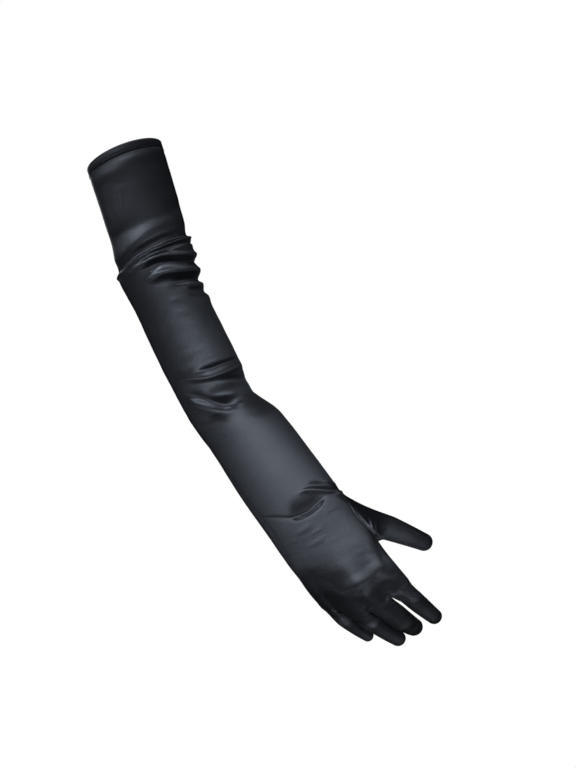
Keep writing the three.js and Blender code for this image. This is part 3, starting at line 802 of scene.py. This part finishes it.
    def _thumb(self) -> None:
        """Adds the thumb on the edge of its hole."""
        first, last = self.first_hole, self.last_hole
        top, bottom = self.first_hole_row, self.last_hole_row
        wide, tall = last - first, bottom - top
        edge = (
            (np.full(wide, top), np.arange(first, last)),
            (np.arange(top, bottom), np.full(tall, last)),
            (np.full(wide, bottom), np.arange(last, first, -1)),
            (np.arange(bottom, top, -1), np.full(tall, first)),
        )
        rows, columns = np.hstack(edge)
        angles = np.arctan2(-self.hole_a[rows, columns], -self.hole_b[rows, columns])
        down = np.array(self.hole_top + THUMB_RISE * THUMB_HOLE_LENGTH)
        foot = self.trunk.at(self.trunk.angle_of(np.array(HOLE_MIDDLE)), down) - np.array([THUMB_SINK, 0, 0])
        tube = FingerTube(THUMB, foot)
        leave = tube.directions(np.array([0.0]))[0][0]
        self._skin_finger(tube, self.grid[rows, columns], angles, leave, self.hole_bottom, (Piece.thumb,))


def vertex_normals(verts: Array, faces: Array) -> Array:
    """Outward normals, each the sum of its faces' normals weighted by their areas.

    Args:
        verts: points.
        faces: faces of four corners, the last one repeated where a face has three.

    Returns:
        unit normals by point.
    """
    a, b, c, d = (verts[faces[:, k]] for k in range(4))
    normal = np.cross(c - a, d - b)
    summed = np.zeros_like(verts)
    for k in range(4):
        np.add.at(summed, faces[:, k], normal)
    return unit(summed)


class Folder:
    """Presses folds, seams and fine wrinkles into the surface.

    SAMPLE is the step along a line in mm, and its slope is read over SLOPE_SAMPLES of them. WRAP_STEP,
    WRAP_FADE and LEAST_TURN are in degrees, STEEPEST is in mm for each degree, and REACH in widths.
    """

    SAMPLE, SLOPE_SAMPLES = 1.5, 4
    WRAP_STEP, WRAP_FADE, LEAST_TURN = 4.0, 20, 3
    STEEPEST = 0.4
    REACH = 3

    def __init__(self, surface: Surface) -> None:
        self.surface = surface
        self.verts = surface.verts
        self.normals = vertex_normals(self.verts, surface.faces)
        self.tree = BVHTree.FromPolygons(self.verts.tolist(), surface.faces[:, :4].tolist())
        self.camera = Vector((PHOTO_CENTRE[0], -CAMERA_DISTANCE + MIDDLE_DEPTH, PHOTO_CENTRE[1]))

    def on_surface(self, x: float, z: float) -> tuple[Vector, Vector]:
        """Where the camera sees a place of the turned view on the surface.

        Args:
            x: place across the turned view, in its mm.
            z: place up it.

        Returns:
            the point and the normal there; at the edge of the outline, the nearest ones.
        """
        right, up = VIEW_SHIFT
        target = Vector(((x + right) * VIEW_SCALE, MIDDLE_DEPTH, (z + up) * VIEW_SCALE))
        hit, normal, _, _ = self.tree.ray_cast(self.camera, (target - self.camera).normalized())
        if hit is None:
            hit, normal, _, _ = self.tree.find_nearest(target)
        return hit, normal

    def line(self, fold: Fold) -> tuple[Array, Array]:
        """The fold's line on the surface, a smooth curve through its points, and its fading along the way.

        Args:
            fold: the fold.

        Returns:
            points in mm and heights from 0 to 1.
        """
        given = np.array(fold.points, float)
        length = np.append(0, np.cumsum(np.linalg.norm(np.diff(given, axis=0), axis=1)))
        count = max(4, round(length[-1] / self.SAMPLE) + 1)
        places = np.linspace(0, length[-1], count)
        x, z = along(length, given[:, 0], places), along(length, given[:, 1], places)
        points = np.array([self.on_surface(a, b)[0] for a, b in zip(x, z)])
        left, right = self.wrapped(points, fold.wrap[0], 1), self.wrapped(points[::-1], fold.wrap[1], -1)
        whole = np.vstack([left[::-1], points, right])
        run = np.append(0, np.cumsum(np.linalg.norm(np.diff(whole, axis=0), axis=1)))
        share = run / run[-1]
        return whole, smooth(np.minimum(share, 1 - share) / fold.fade)

    def wrapped(self, points: Array, degrees: float, way: int) -> Array:
        """Goes on round the arm from the first of some points.

        Args:
            points: line on the surface, the end to go on from first.
            degrees: how far round.
            way: 1 for growing angles, -1 for shrinking ones.

        Returns:
            further points, the nearest one first.
        """
        if degrees <= 0:
            return np.zeros((0, 3))
        grid = self.surface.grid_points.reshape(-1, 3)
        nearby = points[0], points[min(self.SLOPE_SAMPLES, len(points) - 1)]
        near = [int(np.argmin(((grid - point) ** 2).sum(axis=1))) for point in nearby]
        angle, down = self.surface.grid_angle.ravel()[near], self.surface.grid_down.ravel()[near]
        slope = (down[0] - down[1]) / max(abs(angle[0] - angle[1]), self.LEAST_TURN)
        turn = np.arange(self.WRAP_STEP, degrees + 0.1, self.WRAP_STEP)
        half = degrees / 2
        further = down[0] + np.clip(slope, -self.STEEPEST, self.STEEPEST) * half * (1 - np.exp(-turn / half))
        offset = points[0] - self.surface.trunk.at(angle[:1], down[:1])[0]
        fading = np.exp(-turn / self.WRAP_FADE)[:, None]
        return self.surface.trunk.at(angle[0] + way * turn, further) + offset * fading

    def fold_heights(self) -> Array:
        """Height of all folds at each point.

        A fold's height at a point falls off with the square of the distance to its line over the width of the
        flank that the point is on.

        Returns:
            heights in mm by point.
        """
        heights = np.zeros(len(self.verts))
        for fold in FOLDS:
            line, fading = self.line(fold)
            reach = self.REACH * max(fold.above, fold.below)
            low, high = line.min(axis=0) - reach, line.max(axis=0) + reach
            chosen = np.flatnonzero(((self.verts > low) & (self.verts < high)).all(axis=1))
            if not len(chosen):
                continue
            a, step = line[:-1], np.diff(line, axis=0)
            away = self.verts[chosen][:, None] - a[None]
            t = np.clip((away * step).sum(axis=-1) / np.maximum((step * step).sum(axis=-1), 1e-9), 0, 1)
            off = away - t[..., None] * step[None]
            distance = np.linalg.norm(off, axis=-1)
            nearest = distance.argmin(axis=1)
            pick = np.arange(len(chosen)), nearest
            up = np.cross(self.normals[chosen], unit(step)[nearest])
            is_above = (up * off[pick]).sum(axis=-1) > 0
            width = np.where(is_above, fold.above, fold.below)
            strength = fading[:-1][nearest] * (1 - t[pick]) + fading[1:][nearest] * t[pick]
            heights[chosen] += fold.height * strength * np.exp(-((distance[pick] / width) ** 2))
        return heights

    def wrinkle_heights(self) -> Array:
        """Fine uneven wrinkles of the sleeve and the hand, longer round it than down it.

        Returns:
            heights in mm by point.
        """
        heights = np.zeros(len(self.verts))
        s = self.surface
        across, down = s.grid_angle * ARM_WIDTH / 2 * np.pi / 180, s.grid_down
        strength = np.interp(down, [r.down for r in ROUGHENINGS], [r.height for r in ROUGHENINGS])
        uneven = sum(
            w.share * noise(across / w.across + NOISE_START, down / w.down + w.lean * across, w.seed)
            for w in WRINKLE_LAYERS
        )
        heights[s.grid.ravel()] = (strength * uneven).ravel()
        return heights

    def seam_heights(self) -> Array:
        """Seams: a low puckered ridge along the line where two pieces meet, between two grooves.

        Returns:
            heights in mm by point.
        """
        edges = seam_points(self.surface)
        tree = KDTree(len(edges))
        for k, p in enumerate(edges):
            tree.insert(p, k)
        tree.balance()
        heights = np.zeros(len(self.verts))
        for k, p in enumerate(self.verts):
            _, number, distance = tree.find(p)
            if distance < SEAM_REACH:
                groove = math.exp(-(((distance - SEAM_GROOVE_AT) / SEAM_GROOVE_WIDTH) ** 2))
                ridge = math.exp(-((distance / SEAM_RISE_WIDTH) ** 2))
                pucker = 1 + SEAM_PUCKER * math.sin(PUCKER_STEP * number)
                heights[k] = SEAM_RISE * pucker * ridge - SEAM_DEPTH * groove
        return heights

    def press(self) -> Array:
        """Puts everything into the surface.

        Returns:
            the new points in mm.
        """
        heights = self.fold_heights() + self.wrinkle_heights()
        verts = self.verts + heights[:, None] * self.normals
        normals = vertex_normals(verts, self.surface.faces)
        return verts + self.seam_heights()[:, None] * normals


def seam_points(surface: Surface) -> Array:
    """Points along all seams: the pieces' borders, and the seam that closes the trank on the outer side.

    Args:
        surface: the outer face.

    Returns:
        points in mm.
    """
    faces, piece = surface.faces, surface.face_piece
    lowest, highest = np.full(len(surface.verts), len(Piece)), np.full(len(surface.verts), -1)
    for k in range(4):
        np.minimum.at(lowest, faces[:, k], piece)
        np.maximum.at(highest, faces[:, k], piece)
    border = surface.verts[(lowest != highest) & (highest >= 0)]
    downs = np.arange(HEM_HEIGHT, OUTSEAM[-1][0], SEAM_STEP)
    angles = np.interp(downs, [d for d, _ in OUTSEAM], [a for _, a in OUTSEAM])
    return np.vstack([border, surface.trunk.at(angles, downs)])


@dataclass(frozen=True)
class ClothMesh:
    """A closed wall of cloth: points in mm, faces of four corners, and their corners' places on the cloth."""

    verts: Array
    faces: Array
    cloth: Array


def cloth_wall(surface: Surface, verts: Array, normals: Array, piece: Piece, wall: Wall) -> ClothMesh:
    """Makes one piece thick: its faces outside, the same set in by its thickness, and its edges closed.

    Args:
        surface: the outer face, for its faces.
        verts: the outer face's points with all folds, in mm.
        normals: their normals.
        piece: the piece.
        wall: its thickness, how proud it stands and how far its edges are drawn back from a seam.

    Returns:
        the closed wall.
    """
    chosen = surface.face_piece == piece.value
    own, cloth = surface.faces[chosen], surface.face_cloth[chosen]
    used, local = np.unique(own, return_inverse=True)
    faces = local.reshape(-1, 4)
    points = verts[used] + wall.proud * normals[used]
    out = normals[used]
    starts, ends = faces.ravel(), np.roll(faces, -1, axis=1).ravel()
    real = starts != ends
    starts, ends = starts[real], ends[real]
    key, twin = starts * len(used) + ends, ends * len(used) + starts
    open_edge = ~np.isin(key, twin)
    a, b = starts[open_edge], ends[open_edge]
    centre = points[faces].mean(axis=1)
    pull = np.zeros_like(points)
    for k in range(4):
        np.add.at(pull, faces[:, k], unit(centre - points[faces[:, k]]))
    pull = unit(pull - (pull * out).sum(axis=1, keepdims=True) * out)
    edge = np.zeros(len(points), bool)
    edge[a] = True
    points = points + wall.edge_gap * pull * edge[:, None]
    inner = points - wall.thickness * out
    n = len(points)
    rim = np.stack([b, a, a + n, b + n], axis=1)
    inside = faces[:, ::-1] + n
    all_cloth = np.vstack([cloth, cloth[:, ::-1], np.zeros((len(rim), 4, 2))])
    return ClothMesh(np.vstack([points, inner]), np.vstack([faces, inside, rim]), all_cloth)


def make_object(name: str, cloth: ClothMesh, material: bpy.types.Material) -> bpy.types.Object:
    """Makes a smooth-shaded mesh object in metres.

    Args:
        name: its name.
        cloth: points, faces and places on the cloth.
        material: its material.

    Returns:
        the object.
    """
    keep = cloth.faces != np.roll(cloth.faces, -1, axis=1)
    faces = [face[kept].tolist() for face, kept in zip(cloth.faces, keep)]
    mesh = bpy.data.meshes.new(name)
    mesh.from_pydata((cloth.verts * MM).tolist(), [], faces)
    mesh.shade_smooth()
    layer = mesh.uv_layers.new(name="cloth")
    layer.data.foreach_set("uv", cloth.cloth[keep].astype(np.float32).ravel())
    mesh.update()
    mesh.validate()
    mesh.materials.append(material)
    made = add_object(name, mesh)
    log.info("%s: %d points, %d faces", name, len(mesh.vertices), len(mesh.polygons))
    return made


def add_node(
    tree: bpy.types.NodeTree, kind: str, settings: dict[str, Any] | None = None,
    values: dict[str | int, Any] | None = None, joined: dict[str | int, bpy.types.NodeSocket] | None = None,
) -> bpy.types.Node:
    """Adds a node to a material or a world.

    Args:
        tree: where to.
        kind: the node's type.
        settings: its own settings by name.
        values: constant inputs by name or number.
        joined: the outputs that go into it, by the input's name or number.

    Returns:
        the node.
    """
    node = tree.nodes.new(kind)
    for name, setting in (settings or {}).items():
        setattr(node, name, setting)
    for key, value in (values or {}).items():
        node.inputs[key].default_value = value
    for key, output in (joined or {}).items():
        tree.links.new(output, node.inputs[key])
    return node


def satin_material(name: str, finish: SatinFinish) -> bpy.types.Material:
    """Black satin: a soft broad gloss over a near-black cloth, with fine ribs and an uneven grain.

    Args:
        name: the material's name.
        finish: its colours and sizes.

    Returns:
        the material.
    """
    material = bpy.data.materials.new(name)
    material.use_nodes = True
    tree = material.node_tree
    tree.nodes.clear()
    cloth = add_node(tree, "ShaderNodeUVMap", {"uv_map": "cloth"}).outputs["UV"]
    place = add_node(tree, "ShaderNodeTexCoord").outputs["Object"]
    detail = {"Detail": finish.noise_detail}
    grain, patches = (
        add_node(tree, "ShaderNodeTexNoise", {}, {"Scale": scale, **detail}, {"Vector": at}).outputs["Fac"]
        for scale, at in ((1 / finish.grain_size, cloth), (finish.patches_each_metre, place))
    )
    patch = add_node(tree, "ShaderNodeMath", {"operation": "MULTIPLY"}, {1: finish.patch_share}, {0: patches})
    mixed = add_node(
        tree, "ShaderNodeMath", {"operation": "MULTIPLY_ADD"}, {1: finish.grain_share},
        {0: grain, 2: patch.outputs[0]},
    ).outputs[0]
    colour = add_node(
        tree, "ShaderNodeMix", {"data_type": "RGBA"}, {"A": (*finish.shade, 1), "B": (*finish.bloom, 1)},
        {"Factor": mixed},
    )
    smoothest, roughest = (finish.roughness + sign * finish.roughness_spread for sign in (-1, 1))
    rough = add_node(
        tree, "ShaderNodeMapRange", {}, {"To Min": smoothest, "To Max": roughest}, {"Value": mixed}
    )
    ribs = add_node(
        tree, "ShaderNodeTexWave", {"bands_direction": "Y"},
        {"Scale": 1 / (finish.rib_pitch * math.pi / 2), "Distortion": finish.rib_waviness, "Detail": 1},
        {"Vector": cloth},
    )
    rib_bump = add_node(
        tree, "ShaderNodeBump", {}, {"Strength": finish.rib_strength, "Distance": finish.rib_height * MM},
        {"Height": ribs.outputs["Fac"]},
    )
    grain_bump = add_node(
        tree, "ShaderNodeBump", {}, {"Strength": finish.grain_strength, "Distance": finish.grain_depth * MM},
        {"Height": grain, "Normal": rib_bump.outputs["Normal"]},
    )
    across = add_node(tree, "ShaderNodeTangent", {"direction_type": "UV_MAP", "uv_map": "cloth"})
    shader = add_node(
        tree, "ShaderNodeBsdfPrincipled", {},
        {
            "Anisotropic": finish.anisotropy,
            "Specular IOR Level": finish.specular,
            "Specular Tint": (*finish.specular_tint, 1),
        },
        {
            "Base Color": colour.outputs["Result"],
            "Roughness": rough.outputs["Result"],
            "Normal": grain_bump.outputs["Normal"],
            "Tangent": across.outputs["Tangent"],
        },
    )
    add_node(tree, "ShaderNodeOutputMaterial", joined={"Surface": shader.outputs["BSDF"]})
    return material


def stitch_row(surface: Surface, verts: Array, normals: Array, stitch: Stitch) -> ClothMesh:
    """Stitches along the hem: short rounded threads, each an arc of small rings that dips in at both ends.

    Args:
        surface: the outer face, for its grid.
        verts: its points with all folds, in mm.
        normals: their normals.
        stitch: their sizes.

    Returns:
        all stitches as one mesh.
    """
    row = np.append(surface.grid[HEM_ROWS - 1], surface.grid[HEM_ROWS - 1][0])
    ring, out = verts[row], normals[row]
    run = np.append(0, np.cumsum(np.linalg.norm(np.diff(ring, axis=0), axis=1)))
    starts = np.arange(0, run[-1] - stitch.pitch, stitch.pitch)
    share = np.linspace(0, 1, stitch.rings)
    places = starts[:, None] + share[None] * stitch.length
    on_ring, normal = (
        np.stack([np.interp(places, run, values[:, k]) for k in range(3)], axis=-1) for values in (ring, out)
    )
    normal = unit(normal)
    centre = on_ring + normal * (stitch.height + stitch.arch * np.sin(np.pi * share))[None, :, None]
    side = np.cross(normal, unit(np.gradient(centre, axis=1)))
    blunt = np.maximum(1 - (2 * share - 1) ** stitch.bluntness, stitch.thinnest)
    thick = (stitch.radius * np.sqrt(blunt))[None, :, None, None]
    turn = np.linspace(0, 2 * np.pi, stitch.sides, endpoint=False)
    cosine, sine = (wave(turn)[None, None, :, None] for wave in (np.cos, np.sin))
    around = side[:, :, None] * cosine + normal[:, :, None] * sine
    points = centre[:, :, None] + around * thick
    numbers = np.arange(points[..., 0].size).reshape(points.shape[:3])
    after = np.roll(numbers, -1, axis=2)
    quads = np.stack([numbers[:, :-1], numbers[:, 1:], after[:, 1:], after[:, :-1]], axis=-1)
    verts_all, faces, base = [points.reshape(-1, 3)], [quads.reshape(-1, 4)], numbers.size
    for first, second, end in ((numbers, after, 0), (after, numbers, stitch.rings - 1)):
        pole = np.broadcast_to((base + np.arange(len(starts)))[:, None], (len(starts), stitch.sides))
        faces.append(np.stack([first[:, end], second[:, end], pole, pole], axis=-1).reshape(-1, 4))
        verts_all.append(points[:, end].mean(axis=1))
        base += len(starts)
    corners = np.vstack(faces)
    return ClothMesh(np.vstack(verts_all), corners, np.zeros((len(corners), 4, 2)))


def add_light(light: Light) -> None:
    """Adds a soft square light that points at its aim."""
    data = bpy.data.lights.new(light.name, "AREA")
    data.size = light.size
    data.energy = light.watts
    data.spread = math.radians(light.beam)
    made = add_object(light.name, data)
    made.location = light.place
    made.rotation_mode = "QUATERNION"
    made.rotation_quaternion = (Vector(light.aim) - Vector(light.place)).to_track_quat("-Z", "Y")


def add_object(name: str, data: bpy.types.ID) -> bpy.types.Object:
    """Adds an object with its mesh, light or camera to the scene."""
    made = bpy.data.objects.new(name, data)
    bpy.context.scene.collection.objects.link(made)
    return made


def add_floor() -> None:
    """Adds the pale floor below the glove."""
    low, high = cad_box
    middle, half = (low + high) / 2, FLOOR_HALF_SIDE
    corners = [
        (middle.x + a * half, middle.y + b * half, low.z - FLOOR_DROP)
        for a, b in ((-1, -1), (1, -1), (1, 1), (-1, 1))
    ]
    mesh = bpy.data.meshes.new("floor")
    mesh.from_pydata(corners, [], [(0, 1, 2, 3)])
    material = bpy.data.materials.new("floor")
    material.use_nodes = True
    shader = material.node_tree.nodes["Principled BSDF"]
    shader.inputs["Base Color"].default_value = (*FLOOR_COLOUR, 1)
    shader.inputs["Roughness"].default_value = FLOOR_ROUGHNESS
    mesh.materials.append(material)
    floor = add_object("floor", mesh)


def add_camera() -> None:
    """Adds the camera of the photo, rolled so that the glove leans as it does there."""
    data = bpy.data.cameras.new("camera")
    data.sensor_width = LONG_SIDE_SENSOR
    data.lens = LONG_SIDE_SENSOR * CAMERA_DISTANCE / PHOTO_HEIGHT
    camera = add_object("camera", data)
    c, s = math.cos(CAMERA_ROLL), math.sin(CAMERA_ROLL)
    place = Vector((PHOTO_CENTRE[0], MIDDLE_DEPTH - CAMERA_DISTANCE, PHOTO_CENTRE[1])) * MM
    turned = Matrix(((c, s, 0), (0, 0, -1), (-s, c, 0)))
    camera.matrix_world = Matrix.Translation(place) @ turned.to_4x4()
    bpy.context.scene.camera = camera


def add_world() -> None:
    """Adds a white backdrop for the camera, and a weak bluish light from all round for everything else."""
    world = bpy.data.worlds.new("studio")
    bpy.context.scene.world = world
    world.use_nodes = True
    tree = world.node_tree
    tree.nodes.clear()
    rays = add_node(tree, "ShaderNodeLightPath")
    lighting = add_node(tree, "ShaderNodeBackground", {}, {"Color": WORLD_COLOUR, "Strength": WORLD_STRENGTH})
    seen = add_node(tree, "ShaderNodeBackground", {}, {"Color": BACKDROP_COLOUR})
    choices = {
        "Fac": rays.outputs["Is Camera Ray"],
        1: lighting.outputs["Background"],
        2: seen.outputs["Background"],
    }
    mix = add_node(tree, "ShaderNodeMixShader", joined=choices)
    add_node(tree, "ShaderNodeOutputWorld", joined={"Surface": mix.outputs["Shader"]})
    bpy.context.scene.view_settings.view_transform = "Standard"


def main() -> None:
    """Builds the glove's cloth, its studio and the camera."""
    surface = Surface()
    verts = Folder(surface).press()
    normals = vertex_normals(verts, surface.faces)
    satin = satin_material("satin", SatinFinish())
    hem = satin_material("hem_satin", SatinFinish(rib_pitch=0.9, rib_height=0.05))
    for piece in Piece:
        is_hem = piece is Piece.top_hem
        cloth = cloth_wall(surface, verts, normals, piece, HEM_WALL if is_hem else CLOTH_WALL)
        made = make_object(f"{piece.name}_skin", cloth, hem if is_hem else satin)
        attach(made, "root")
        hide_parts(piece.name)
    stitches = make_object("hem_stitches", stitch_row(surface, verts, normals, Stitch()), hem)
    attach(stitches, "root")
    add_floor()
    add_camera()
    for light in LIGHTS:
        add_light(light)
    add_world()


if __name__ == "__main__":
    main()
